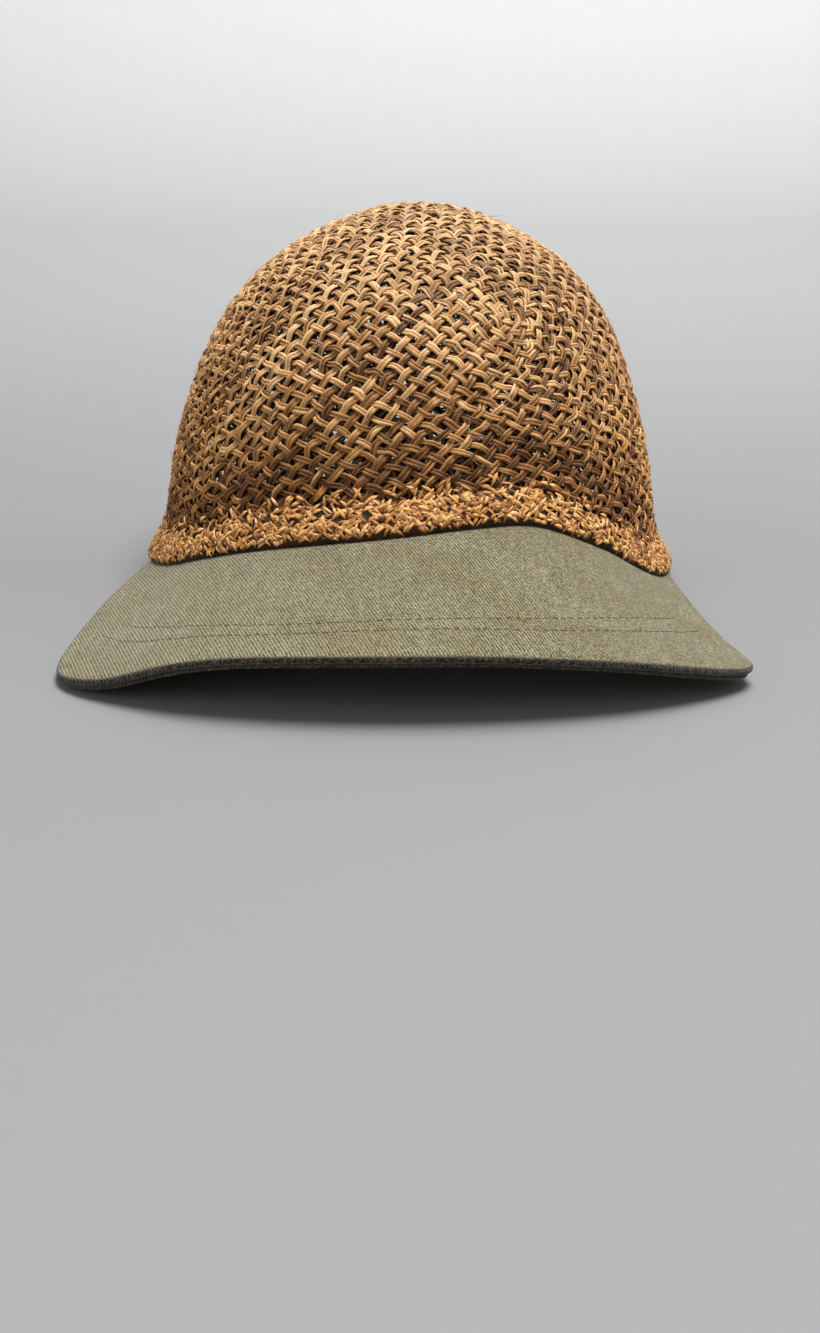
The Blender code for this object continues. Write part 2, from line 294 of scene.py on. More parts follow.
def dropped(below):
    inside = np.clip(below, 0, ROWS_TO_FOOT)
    even = ROW_DROP_TOP * np.minimum(below, ROWS_TO_FOOT)
    even = even + ROW_DROP_FOOT * np.maximum(below - ROWS_TO_FOOT, 0)
    return even + (ROW_DROP_FOOT - ROW_DROP_TOP) * inside**2 / (2 * ROWS_TO_FOOT)


def rough_places(places):
    a, b = places[:, 0], places[:, 1]
    around = np.arctan2(a + b, a - b)
    arc = np.hypot(a, b) * PITCH
    corner_around = math.atan2(WEDGE_B - WEDGE_A, WEDGE_B + WEDGE_A)
    corner_arc = math.hypot(WEDGE_A, WEDGE_B) * PITCH
    arm, below, share = arm_of(places)
    arm_around = corner_around + (share + arm) * math.pi / 2 - below * ROW_LEAN / WALL_RADIUS
    arm_arc = corner_arc + dropped(below)
    fade = np.clip((below + ARM_FADE) / (2 * ARM_FADE), 0, 1)
    swing = (arm_around - around + math.pi) % (2 * math.pi) - math.pi
    around = (around + swing * fade + math.pi) % (2 * math.pi) - math.pi
    return around, arc * (1 - fade) + arm_arc * fade


rough_around, rough_arc = rough_places(mat_places)
rough = from_top(rough_around, rough_arc)
kept = rough[:, 2] > foot_below(rough) - BELOW_FOOT
renumber = -np.ones(len(kept) + 1, int)
renumber[:-1][kept] = np.arange(kept.sum())
places = mat_places[kept]
beside = renumber[mat_beside[kept]]
turned = mat_turned[kept]
net = rough[kept]
print("crossings kept:", len(net))

# %% [markdown]
# Then the net is let go. Each strand pulls its crossings to the distance that they want, and each little
# diamond resists being squashed, just as pressing the damp hood over a block evens it out. It could be left
# to a cloth solver, but a net of links is simpler to steer: move each crossing a little along its pulls,
# put it back on the crown, and repeat.

# %% Lengths that the net wants
SHEAR_PULL = 0.5
ROWS_TO_WALL = 3.0
SLIP = (WEDGE_B - WEDGE_A) / (WEDGE_B + WEDGE_A)


def diagonals():
    found = []
    for first, second in ((0, 1), (0, 3), (2, 1), (2, 3)):
        step = beside[:, first]
        label = (second + turned[:, first]) % 4
        found.append(np.where(step >= 0, beside[np.maximum(step, 0), label], -1))
    return np.stack(found, 1)


def wanted_lengths():
    arm, below, _ = arm_of(places)
    on_wall = np.clip((below + ROWS_TO_WALL) / (2 * ROWS_TO_WALL), 0, 1)[:, None]
    drop = drop_at(below)[:, None]
    climbing = (np.arange(4)[None] % 2) == (arm[:, None] % 2)
    flat_link = np.hypot(ROW_STEP - SLIP * ROW_LEAN, SLIP * drop)
    wall_links = np.where(climbing, np.hypot(ROW_LEAN, drop), flat_link)
    links = PITCH + (wall_links - PITCH) * on_wall
    upright = np.array([[True, False, False, True]]) == (arm % 2 == 0)[:, None]
    down = np.hypot(ROW_STEP - (1 + SLIP) * ROW_LEAN, (1 + SLIP) * drop)
    over = np.hypot(ROW_STEP + (1 - SLIP) * ROW_LEAN, (1 - SLIP) * drop)
    square = PITCH * math.sqrt(2)
    across = square + (np.where(upright, down, over) - square) * on_wall
    return links, across


# %% Press the net over the block
ROUNDS = 400
STRIDE = 0.2
STRIDE_LIMIT = 2.0


def pulls(points, others, lengths, strength):
    there = others >= 0
    way = points[np.maximum(others, 0)] - points[:, None, :]
    far = np.linalg.norm(way, axis=-1) + 1e-9
    force = way * (strength * there * (1 - lengths / far))[..., None]
    return force.sum(1)


def press(points):
    across = diagonals()
    link_lengths, across_lengths = wanted_lengths()
    pinned = (beside < 0).any(1)[:, None]
    for _ in range(ROUNDS):
        force = pulls(points, beside, link_lengths, 1.0)
        force += pulls(points, across, across_lengths, SHEAR_PULL)
        size = np.linalg.norm(force, axis=1, keepdims=True) * STRIDE + 1e-9
        move = force * STRIDE * np.minimum(1, STRIDE_LIMIT / size)
        points = np.where(pinned, points, onto_crown(points + move))
    return points


net = press(net)
spans = np.linalg.norm(net[np.maximum(beside, 0)] - net[:, None, :], axis=-1)
print("distance between crossings:", spans[beside >= 0].mean().round(2), "mm on average")

# %% Work out which way is outwards at each crossing
SMALL_TURN = 0.02


def unit(vectors):
    return vectors / (np.linalg.norm(vectors, axis=-1, keepdims=True) + 1e-12)


def outward_of(points):
    around, upward = bearings(points)
    ring = towards(around + SMALL_TURN, upward) - towards(around - SMALL_TURN, upward)
    rise = towards(around, upward + SMALL_TURN) - towards(around, upward - SMALL_TURN)
    half = np.linalg.norm(points - INSIDE, axis=-1)[:, None] * 0.5
    east = onto_crown(points + ring * half) - onto_crown(points - ring * half)
    north = onto_crown(points + rise * half) - onto_crown(points - rise * half)
    outward = unit(np.cross(east, north))
    return outward * np.sign(((points - INSIDE) * outward).sum(1, keepdims=True))


net_outward = outward_of(net)
print("crossings that know their outward way:", len(net_outward))

# %% [markdown]
# Now the strands are followed through the net, from edge to edge. Where a strand meets a glued wedge it goes
# straight on, which is what makes it turn from a row into a column. At each crossing it goes over if the
# crossing's number is even for its family, and under if not, so over and under take turns all along, also
# across the glue.

# %% Follow each strand through the net


def goes_over(crossing, side):
    a, b = places[crossing]
    even = int(round(a - 0.5) + round(b - 0.5)) % 2 == 0
    return even == (side % 2 == 0)


def follow(crossing, side, seen):
    path = []
    while crossing >= 0 and not seen[crossing, side % 2]:
        seen[crossing, side % 2] = True
        path.append((crossing, goes_over(crossing, side)))
        ahead = beside[crossing, side]
        side = (side + turned[crossing, side]) % 4
        crossing = ahead
    return path


def trace_strands():
    seen = np.zeros((len(places), 2), bool)
    strands = []
    for side in range(4):
        for crossing in np.flatnonzero(beside[:, (side + 2) % 4] < 0):
            if not seen[crossing, side % 2]:
                strands.append(follow(crossing, side, seen))
    for crossing in range(len(places)):
        for side in range(2):
            if not seen[crossing, side]:
                strands.append(follow(crossing, side, seen))
    return [strand for strand in strands if len(strand) > 2]


strands = trace_strands()
print(len(strands), "strands, the longest over", max(len(s) for s in strands), "crossings")

# %% [markdown]
# One strand is not one thick thread. Seen close, it is two split straws side by side: thin round ones in the
# strands that lie flat round the head, and flatter ones that nearly touch in the strands that climb. They
# arch over the strand that they cross and dip under the next, and no two are quite as wide as each other.
# So each strand's middle line is bent in and out by half its thickness, and is split into two fibres whose
# width and distance follow how steeply it climbs.

# %% Bend the strands over and under each other
SEED = 11
WALL_MIDDLE = 0.95
WAVE = 0.62
WAVE_VARIES = 0.16
WAVE_RANGE = (0.6, 1.4)
STEPS_PER_SPAN = 3
STRAY_SIDEWAYS = 0.40
STEEP_SLOPES = (26.0, 42.0)

rng = np.random.default_rng(SEED)
crossing_sideways = rng.normal(0, STRAY_SIDEWAYS, (len(net), 3))
crossing_wave = WAVE * np.clip(rng.normal(1, WAVE_VARIES, len(net)), *WAVE_RANGE)


def smooth_step(value, low, high):
    share = np.clip((value - low) / (high - low), 0, 1)
    return share * share * (3 - 2 * share)


def through(knots, count):
    """A smooth line through all the knots, with so many points for each span."""
    before = np.concatenate([knots[:1], knots[:-2]])
    first, second = knots[:-1], knots[1:]
    after = np.concatenate([knots[2:], knots[-1:]])
    share = (np.arange(count) / count)[None, :, None]
    weighted_knots = (
        (-share + 2 * share**2 - share**3, before),
        (2 - 5 * share**2 + 3 * share**3, first),
        (share + 4 * share**2 - 3 * share**3, second),
        (-share**2 + share**3, after),
    )
    line = sum(weight * knot[:, None, :] for weight, knot in weighted_knots) / 2
    return np.concatenate([line.reshape(-1, knots.shape[1]), knots[-1:]])


def ease_between(values, count):
    share = (1 - np.cos(np.pi * np.arange(count) / count)) / 2
    line = values[:-1, None] * (1 - share) + values[1:, None] * share
    return np.append(line.ravel(), values[-1])


def strand_line(strand):
    index = np.array([crossing for crossing, _ in strand])
    over = np.array([is_over for _, is_over in strand])
    knots = net[index] + crossing_sideways[index] * np.where(over, 1, -1)[:, None]
    line = onto_crown(through(knots, STEPS_PER_SPAN))
    outward = unit(through(net_outward[index], STEPS_PER_SPAN))
    lift = ease_between(np.where(over, 1, -1) * crossing_wave[index], STEPS_PER_SPAN)
    along = unit(np.gradient(line, axis=0))
    sideways = unit(np.cross(outward, along))
    return line, outward, sideways, along, lift


def steepness(outward, along):
    ring = unit(np.cross((0, 0, 1), outward))
    climb = np.cross(outward, ring)
    slope = np.degrees(np.arctan2(np.abs((along * climb).sum(1)), np.abs((along * ring).sum(1))))
    return smooth_step(slope, *STEEP_SLOPES)


print("a strand bends", WAVE, "mm out and in of the middle of the wall")

# %% [markdown]
# Every fibre ends where the crown ends. The points of a fibre below the crown's foot are cut away. What is
# left is kept as plain lists: where each point lies, which way is outwards there, how wide and thick the
# fibre is, how light it is and how far along the fibre the point lies. A material can then draw streaks that
# run along each fibre.

# %% Split each strand into fibres
FLAT_STYLE = {"wide": 0.46, "thick": 0.42, "apart": 0.45}
STEEP_STYLE = {"wide": 0.60, "thick": 0.40, "apart": 0.52}
FOOT_TRIM = 1.2
SKEW = 0.14
POINTS_PER_KNOT = 4
WIDTH_VARIES = 0.19
FIBRE_WIDTH_VARIES = 0.08
APART_VARIES = 0.15
SHADE_VARIES = 0.20
# Painted shade: the straw is darkened in a band above the crown's foot, towards the front.
SHADE_ABOVE_HEM = 0.50
SHADE_HEIGHTS_ABOVE_FOOT = (8.0, 34.0)
SHADE_TOWARDS_FRONT = (-20.0, 15.0)
STREAK_OFFSET = 900.0
RUN_FIELDS = ("place", "outward", "sideways", "size", "tone", "along")


def new_bundle():
    return {name: [] for name in ("runs",) + RUN_FIELDS}


def add_run(bundle, *fields):
    points = len(fields[0])
    if points < 3:
        return
    bundle["runs"].append(points)
    for name, values in zip(RUN_FIELDS, fields):
        bundle[name].append(values)


def runs_of(mask):
    edges = np.flatnonzero(np.diff(np.concatenate([[False], mask, [False]]).astype(int)))
    return zip(edges[::2], edges[1::2])


def wander(points):
    knots = max(points // POINTS_PER_KNOT, 2)
    return np.interp(np.arange(points), np.linspace(0, points, knots), rng.normal(0, 1, knots))


def add_fibre(bundle, line, outward, sideways, lift, steep, side, tone):
    ripple = wander(len(line))
    shade = wander(len(line))
    mix = {key: FLAT_STYLE[key] + (STEEP_STYLE[key] - FLAT_STYLE[key]) * steep for key in FLAT_STYLE}
    width = mix["wide"] * (1 + WIDTH_VARIES * ripple) * rng.normal(1, FIBRE_WIDTH_VARIES)
    thick = mix["thick"] * (1 + 0.5 * WIDTH_VARIES * ripple)
    apart = mix["apart"] * side * (1 + APART_VARIES * np.roll(ripple, 3))
    height = lift - WALL_MIDDLE + SKEW * side * rng.normal(0, 1)
    place = line + outward * height[:, None] + sideways * apart[:, None]
    size = np.stack([width, thick, np.zeros(len(line))], 1)
    # Painted shade in a band above the crown's foot, strongest at the front.
    low = 1 - smooth_step(place[:, 2] - foot_below(place), *SHADE_HEIGHTS_ABOVE_FOOT)
    painted_shade = SHADE_ABOVE_HEM * low * smooth_step(-place[:, 1], *SHADE_TOWARDS_FRONT)
    tones = np.clip(tone + SHADE_VARIES * shade - painted_shade, 0, 1)
    along = arc_along(place) + rng.uniform(0, STREAK_OFFSET)
    for start, stop in runs_of(place[:, 2] > foot_below(place) + FOOT_TRIM):
        add_run(bundle, *(values[start:stop] for values in (place, outward, sideways, size, tones, along)))


CROWN_PIECES = 5
STRAND_TONE = (0.48, 0.18)
STRAND_TONE_RANGE = (0.08, 0.95)
FIBRE_TONE_VARIES = 0.13

order = np.argsort([-len(strand) for strand in strands])
bundles = [new_bundle() for _ in range(CROWN_PIECES)]
points_so_far = [0] * CROWN_PIECES
for number in order:
    line, outward, sideways, along, lift = strand_line(strands[number])
    steep = steepness(outward, along)
    lightest = int(np.argmin(points_so_far))
    strand_tone = np.clip(rng.normal(*STRAND_TONE), *STRAND_TONE_RANGE)
    for side in (-1, 1):
        fibre_tone = strand_tone + rng.normal(0, FIBRE_TONE_VARIES)
        add_fibre(bundles[lightest], line, outward, sideways, lift, steep, side, fibre_tone)
    points_so_far[lightest] += len(line)
print("fibre points in each piece:", [sum(bundle["runs"]) for bundle in bundles])

# %% [markdown]
# A helper or two for node trees. Geometry Nodes trees are built in the script, so the lesson shows every
# node. Each tree has named inputs for its sizes, and the result is turned into a plain mesh at the end,
# because the finished cap must not depend on live modifiers.

# %% Helpers for node trees


def plug(tree, socket, value):
    if isinstance(value, bpy.types.NodeSocket):
        tree.links.new(value, socket)
    elif value is not None:
        socket.default_value = value


def add_node(tree, kind, settings=None, inputs=None):
    node = tree.nodes.new(kind)
    for name, value in (settings or {}).items():
        setattr(node, name, value)
    for name, value in (inputs or {}).items():
        plug(tree, node.inputs[name], value)
    return node


def start_tree(name, inputs):
    tree = bpy.data.node_groups.new(name, "GeometryNodeTree")
    faces = tree.interface
    faces.new_socket("Geometry", in_out="INPUT", socket_type="NodeSocketGeometry")
    for label, kind in inputs:
        faces.new_socket(label, in_out="INPUT", socket_type="NodeSocket" + kind)
    faces.new_socket("Geometry", in_out="OUTPUT", socket_type="NodeSocketGeometry")
    return tree, add_node(tree, "NodeGroupInput"), add_node(tree, "NodeGroupOutput")


def vector_math(tree, operation, first, second=None, scale=None):
    node = add_node(tree, "ShaderNodeVectorMath", {"operation": operation}, {0: first, 1: second, 3: scale})
    return node.outputs["Value" if operation == "DOT_PRODUCT" else "Vector"]


def scalar_math(tree, operation, first, second=0.0, clamp=False):
    settings = {"operation": operation, "use_clamp": clamp}
    node = add_node(tree, "ShaderNodeMath", settings, {0: first, 1: second})
    return node.outputs[0]


def parts_of(tree, vector):
    return add_node(tree, "ShaderNodeSeparateXYZ", inputs={"Vector": vector}).outputs


def read_attribute(tree, name, kind="FLOAT_VECTOR"):
    node = add_node(tree, "GeometryNodeInputNamedAttribute", {"data_type": kind}, {"Name": name})
    return node.outputs["Attribute"]


def store_vector(tree, geometry, name, value):
    node = add_node(tree, "GeometryNodeStoreNamedAttribute", {"data_type": "FLOAT_VECTOR"},
                    {"Geometry": geometry, "Name": name, "Value": value})
    return node.outputs["Geometry"]


def finish_tree(tree, end, geometry, helpers, finish):
    real = add_node(tree, "GeometryNodeRealizeInstances", inputs={"Geometry": geometry})
    result = real.outputs["Geometry"]
    for name in helpers:
        cleared = add_node(tree, "GeometryNodeRemoveAttribute", inputs={"Geometry": result, "Name": name})
        result = cleared.outputs["Geometry"]
    smooth = add_node(tree, "GeometryNodeSetShadeSmooth", inputs={"Geometry": result})
    dyed = add_node(tree, "GeometryNodeSetMaterial", inputs={
        "Geometry": smooth.outputs["Geometry"], "Material": finish})
    tree.links.new(dyed.outputs["Geometry"], end.inputs["Geometry"])


def grow(source, tree, values, name):
    modifier = source.modifiers.new("grow", "NODES")
    modifier.node_group = tree
    for item in tree.interface.items_tree:
        if item.in_out == "INPUT" and item.name in values:
            modifier[item.identifier] = values[item.name]
    graph = bpy.context.evaluated_depsgraph_get()
    ready = source.evaluated_get(graph)
    mesh = bpy.data.meshes.new_from_object(ready, preserve_all_data_layers=True, depsgraph=graph)
    source.modifiers.remove(modifier)
    bpy.data.objects.remove(source)
    mesh.name = name
    mesh.calc_loop_triangles()
    print(name, "has", len(mesh.loop_triangles), "triangles")
    return put_in_scene(name, mesh)


def write_attributes(mesh, attributes):
    for label, values in attributes.items():
        kind, field = ("FLOAT_VECTOR", "vector") if values.ndim == 2 else ("FLOAT", "value")
        layer = mesh.attributes.new(label, kind, "POINT")
        layer.data.foreach_set(field, values.astype(np.float32).ravel())


def guide_object(place, attributes, runs=()):
    """A mesh of points that carry attributes, joined into one line for each run."""
    mesh = bpy.data.meshes.new("guide")
    mesh.vertices.add(len(place))
    mesh.vertices.foreach_set("co", (place * MM).astype(np.float32).ravel())
    if runs:
        joined = np.ones(len(place), bool)
        joined[np.cumsum(runs) - 1] = False
        first = np.flatnonzero(joined)
        mesh.edges.add(len(first))
        mesh.edges.foreach_set("vertices", np.stack([first, first + 1], 1).astype(np.int32).ravel())
    write_attributes(mesh, attributes)
    mesh.update()
    return put_in_scene("guide", mesh)


# %% [markdown]
# The tree that makes a straw out of a line. A circle is swept along the line, and each ring of points is
# then squeezed: sideways to the fibre's width, outwards to its thickness. That gives every point of every
# fibre its own oval section, which a plain bevel can't. The tree also stores where on the section each
# point lies and how far along the fibre, so that the material's streaks follow the straw round every bend.

# %% Tree: sweep straw along lines
SECTION_SIDES = 5
SECTION_RADIUS = 0.001


def build_straw_sweep():
    tree, start, end = start_tree("straw_sweep", (("Sides", "Int"), ("Straw", "Material")))
    outward = read_attribute(tree, "outward")
    sideways = read_attribute(tree, "sideways")
    place = add_node(tree, "GeometryNodeInputPosition").outputs["Position"]
    curve = add_node(tree, "GeometryNodeMeshToCurve", inputs={"Mesh": start.outputs["Geometry"]})
    turned_curve = add_node(tree, "GeometryNodeSetCurveNormal", {"mode": "FREE"},
                            {"Curve": curve.outputs["Curve"], "Normal": outward})
    ring = add_node(tree, "GeometryNodeCurvePrimitiveCircle", {"mode": "RADIUS"},
                    {"Resolution": start.outputs["Sides"], "Radius": SECTION_RADIUS})
    swept = add_node(tree, "GeometryNodeCurveToMesh", inputs={
        "Curve": store_vector(tree, turned_curve.outputs["Curve"], "middle", place),
        "Profile Curve": ring.outputs["Curve"],
        "Fill Caps": True,
    })
    middle = read_attribute(tree, "middle")
    reach = vector_math(tree, "SUBTRACT", place, middle)
    out_part = vector_math(tree, "DOT_PRODUCT", reach, outward)
    side_part = vector_math(tree, "DOT_PRODUCT", reach, sideways)
    size = parts_of(tree, read_attribute(tree, "size"))
    wide_move = scalar_math(tree, "MULTIPLY", side_part, size["X"])
    thick_move = scalar_math(tree, "MULTIPLY", out_part, size["Y"])
    moved = vector_math(tree, "ADD", vector_math(tree, "SCALE", sideways, scale=wide_move),
                        vector_math(tree, "SCALE", outward, scale=thick_move))
    grain = add_node(tree, "ShaderNodeCombineXYZ", inputs={
        "X": scalar_math(tree, "DIVIDE", side_part, SECTION_RADIUS),
        "Y": scalar_math(tree, "DIVIDE", out_part, SECTION_RADIUS),
        "Z": read_attribute(tree, "along", "FLOAT"),
    })
    shaped = add_node(tree, "GeometryNodeSetPosition", inputs={
        "Geometry": store_vector(tree, swept.outputs["Mesh"], "grain", grain.outputs["Vector"]),
        "Position": vector_math(tree, "ADD", middle, moved),
    })
    helpers = ("middle", "outward", "sideways", "size", "along")
    finish_tree(tree, end, shaped.outputs["Geometry"], helpers, start.outputs["Straw"])
    return tree


straw_sweep = build_straw_sweep()
print("nodes in the straw tree:", len(straw_sweep.nodes))

# %% [markdown]
# Dried straw is a bundle of fibres under a thin skin. Its colour runs in streaks from brown through tan to
# almost cream, each strand has its own shade, and the skin has a soft sheen along its length. The streaks
# come from a noise that is stretched along the fibre. The inner side is painted dark: painted shade, for
# the little light that gets into the hood. Near the top the straw is painted lighter: painted light from
# above. Near the hem it is warmer.

# %% Material: plaited straw
PLAITED_STRAW = (
    (0.080, 0.029, 0.008, 1),
    (0.415, 0.198, 0.062, 1),
    (0.82, 0.50, 0.215, 1),
    (0.82, 0.55, 0.31, 1),
)
STRAW_STOPS = (0.05, 0.42, 0.80, 1.0)
# Painted light: the colour that the straw turns towards near the top.
STRAW_TOP_LIGHT = PLAITED_STRAW[-1]
# Painted shade: the colour that the inner side of each fibre is darkened to.
STRAW_PAINTED_SHADE = (0.018, 0.009, 0.004, 1)
STRAW_WARM = (1.0, 0.86, 0.64, 1)
STREAKS_ACROSS = 1.6
STREAKS_ALONG = 0.22
STREAKS_APART = 37.0
STREAKS_RANGE = (0.3, 0.7)
TONE_WEIGHT = 0.75
STREAKS_WEIGHT = 1.15
SHADE_OFFSET = 0.44
WARM_HEIGHTS = (0.035, 0.085)
# Painted light: the straw is made lighter between these heights, towards the top.
TOP_LIGHT_HEIGHTS = (0.090, 0.125)
PAINTED_TOP_LIGHT = 0.30
# Painted shade: how far the inner side of each fibre is darkened.
INNER_SHADE_SIDE = (-0.85, 0.30)
INNER_PAINTED_SHADE = 0.92
STRAW_ROUGHNESS = (0.72, 0.5)
STRAW_BUMP = (0.55, 0.00025)


def colour_ramp(tree, factor, stops):
    node = add_node(tree, "ShaderNodeValToRGB", inputs={"Fac": factor})
    ramp = node.color_ramp
    while len(ramp.elements) < len(stops):
        ramp.elements.new(0.5)
    for element, (place, colour) in zip(ramp.elements, stops):
        element.position = place
        element.color = colour
    return node.outputs["Color"]


def map_range(tree, value, low, high, to_low, to_high):
    node = add_node(tree, "ShaderNodeMapRange", {"clamp": True}, {
        "Value": value, "From Min": low, "From Max": high, "To Min": to_low, "To Max": to_high})
    return node.outputs["Result"]


def mix_colour(tree, factor, first, second, blend="MIX"):
    node = add_node(tree, "ShaderNodeMix", {"data_type": "RGBA", "blend_type": blend}, {
        0: factor, 6: first, 7: second})
    return node.outputs[2]


def weighted(tree, *terms):
    parts = [scalar_math(tree, "MULTIPLY", value, weight) for value, weight in terms]
    total = parts[0]
    for part in parts[1:]:
        total = scalar_math(tree, "ADD", total, part)
    return total


def noise(tree, place, scale, detail, roughness=0.5):
    return add_node(tree, "ShaderNodeTexNoise", inputs={
        "Vector": place, "Scale": scale, "Detail": detail, "Roughness": roughness}).outputs["Fac"]


def object_place(tree):
    return add_node(tree, "ShaderNodeTexCoord").outputs["Object"]


def bumped(tree, height, strength, distance):
    node = add_node(tree, "ShaderNodeBump", inputs={
        "Strength": strength, "Distance": distance, "Height": height})
    return node.outputs["Normal"]


def start_material(name):
    material = bpy.data.materials.new(name)
    material.use_nodes = True
    return material, material.node_tree


def set_shader(tree, settings):
    for name, value in settings.items():
        plug(tree, tree.nodes["Principled BSDF"].inputs[name], value)


def attribute(tree, name, output):
    return add_node(tree, "ShaderNodeAttribute", {"attribute_name": name}).outputs[output]


def build_straw_material(name, colours, warmth=0.0):
    material, tree = start_material(name)
    grain = attribute(tree, "grain", "Vector")
    tone = attribute(tree, "tone", "Fac")
    scaled = vector_math(tree, "MULTIPLY", grain, (STREAKS_ACROSS, STREAKS_ACROSS, STREAKS_ALONG))
    own_streaks = scalar_math(tree, "MULTIPLY", tone, STREAKS_APART)
    apart = add_node(tree, "ShaderNodeCombineXYZ", inputs={"X": own_streaks})
    scaled = vector_math(tree, "ADD", scaled, apart.outputs["Vector"])
    streaks = noise(tree, scaled, 1.0, 5.0, 0.62)
    height = parts_of(tree, object_place(tree))["Z"]
    shade = weighted(tree, (tone, TONE_WEIGHT), (streaks, STREAKS_WEIGHT))
    shade = scalar_math(tree, "SUBTRACT", shade, SHADE_OFFSET, clamp=True)
    colour = colour_ramp(tree, shade, list(zip(STRAW_STOPS, colours)))
    warm = map_range(tree, height, *WARM_HEIGHTS, warmth, 0.0)
    colour = mix_colour(tree, warm, colour, STRAW_WARM, "MULTIPLY")
    # Painted light: the straw is made lighter towards the top.
    top_light = map_range(tree, height, *TOP_LIGHT_HEIGHTS, 0.0, PAINTED_TOP_LIGHT)
    colour = mix_colour(tree, top_light, colour, STRAW_TOP_LIGHT)
    # Painted shade: the inner side of each fibre is darkened.
    inner_shade = map_range(tree, parts_of(tree, grain)["Y"], *INNER_SHADE_SIDE, INNER_PAINTED_SHADE, 0.0)
    set_shader(tree, {
        "Base Color": mix_colour(tree, inner_shade, colour, STRAW_PAINTED_SHADE),
        "Roughness": map_range(tree, streaks, *STREAKS_RANGE, *STRAW_ROUGHNESS),
        "Normal": bumped(tree, streaks, *STRAW_BUMP),
        "Specular IOR Level": 0.4,
    })
    return material


plaited_straw = build_straw_material("plaited_straw", PLAITED_STRAW, warmth=1.0)
print("nodes in the straw's material:", len(plaited_straw.node_tree.nodes))

# %% Sweep the crown's straw


def hand_over(piece, node=None):
    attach(piece, "root")
    if node:
        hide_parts(node)


def sweep_straw(bundle, sides, name):
    values = {field: np.concatenate(bundle[field]) for field in RUN_FIELDS}
    guide = guide_object(values.pop("place"), values, bundle["runs"])
    piece = grow(guide, straw_sweep, {"Sides": sides, "Straw": plaited_straw}, name)
    hand_over(piece, "crown")


for number, bundle in enumerate(bundles):
    sweep_straw(bundle, SECTION_SIDES, "straw_strands_%d" % (number + 1))

# %% [markdown]
# Many small things lie on the cap: chips of straw in the hem, spliced ends behind the weave, stitches. Each
# of them is one small shape that is repeated, so one tree lays them all. It takes loose points that carry
# which way they face, where they head, their size and their tone, and puts a copy of the shape on each.

# %% Tree: lay small pieces on points


def build_laying():
    tree, start, end = start_tree("lay_pieces", (("Shape", "Object"), ("Finish", "Material")))
    shape = add_node(tree, "GeometryNodeObjectInfo", inputs={"Object": start.outputs["Shape"]})
    axes = add_node(tree, "FunctionNodeAxesToRotation", {"primary_axis": "Z", "secondary_axis": "X"}, {
        "Primary Axis": read_attribute(tree, "facing"),
        "Secondary Axis": read_attribute(tree, "heading"),
    })
    laid = add_node(tree, "GeometryNodeInstanceOnPoints", inputs={
        "Points": start.outputs["Geometry"],
        "Instance": shape.outputs["Geometry"],
        "Rotation": axes.outputs["Rotation"],
        "Scale": read_attribute(tree, "size"),
    })
    helpers = ("facing", "heading", "size")
    finish_tree(tree, end, laid.outputs["Instances"], helpers, start.outputs["Finish"])
    return tree


laying = build_laying()
print("nodes in the laying tree:", len(laying.nodes))

# %% Shape: a short bent bar
BLUNT_END = 0.35


def bent_bar(name, length, width, thick, arch, spans, sides):
    """A short bar along X that arches up in Z and thins towards its ends, in millimetres."""
    bm = bmesh.new()
    grain = bm.verts.layers.float_vector.new("grain")
    rings = []
    for k in range(spans + 1):
        share = 2.0 * k / spans - 1.0
        taper = max(BLUNT_END, math.sqrt(1.0 - abs(share) ** 3))
        ring = []
        for i in range(sides):
            turn = 2 * math.pi * (i + 0.25) / sides
            x = share * length / 2
            y = math.cos(turn) * width / 2 * taper
            z = math.sin(turn) * thick / 2 * taper + arch * (1 - share * share)
            vertex = bm.verts.new((x * MM, y * MM, z * MM))
            vertex[grain] = (math.cos(turn), math.sin(turn), x)
            ring.append(vertex)
        rings.append(ring)
    for first, second in zip(rings, rings[1:]):
        for i in range(sides):
            j = (i + 1) % sides
            bm.faces.new((first[i], first[j], second[j], second[i]))
    bm.faces.new(rings[0])
    bm.faces.new(list(reversed(rings[-1])))
    bmesh.ops.recalc_face_normals(bm, faces=bm.faces)
    mesh = bpy.data.meshes.new(name)
    bm.to_mesh(mesh)
    bm.free()
    return bpy.data.objects.new(name, mesh)


# %% Lay a shape on points


def columns(rows):
    return [np.array(values) for values in zip(*rows)]


def lay(name, shape, finish, place, *fields):
    values = dict(zip(("facing", "heading", "size", "tone"), fields))
    piece = grow(guide_object(place, values), laying, {"Shape": shape, "Finish": finish}, name)
    bpy.data.objects.remove(shape)
    return piece


# %% [markdown]
# A straw is only so long. Where one ends, the weaver tucks in the next, and leaves both ends on the inner
# side. They lie behind the holes of the weave and make them small and dark. They are laid one to a hole,
# across it at a slant, just inside the strands, in very dark straw, as painted shade in the holes.

# %% Spliced ends behind the weave
SPLICE_DEPTH = 1.95
SPLICE_BAR = {"length": 5.6, "width": 1.65, "thick": 0.4, "arch": 0.25, "spans": 3, "sides": 4}
SPLICE_ABOVE_FOOT = 4.0
SPLICE_TURN = 0.35
SPLICE_SLIP = (0.12, 0.35)
SPLICE_STRETCH = (0.75, 1.15)
SPLICE_WIDENING = (0.6, 1.25)
SPLICE_TONE = (0.4, 0.2)
# Painted shade: very dark straw for the spliced ends behind the holes.
SHADED_SPLICE_STRAW = (
    (0.020, 0.009, 0.004, 1),
    (0.085, 0.038, 0.014, 1),
    (0.20, 0.10, 0.042, 1),
    (0.28, 0.16, 0.07, 1),
)


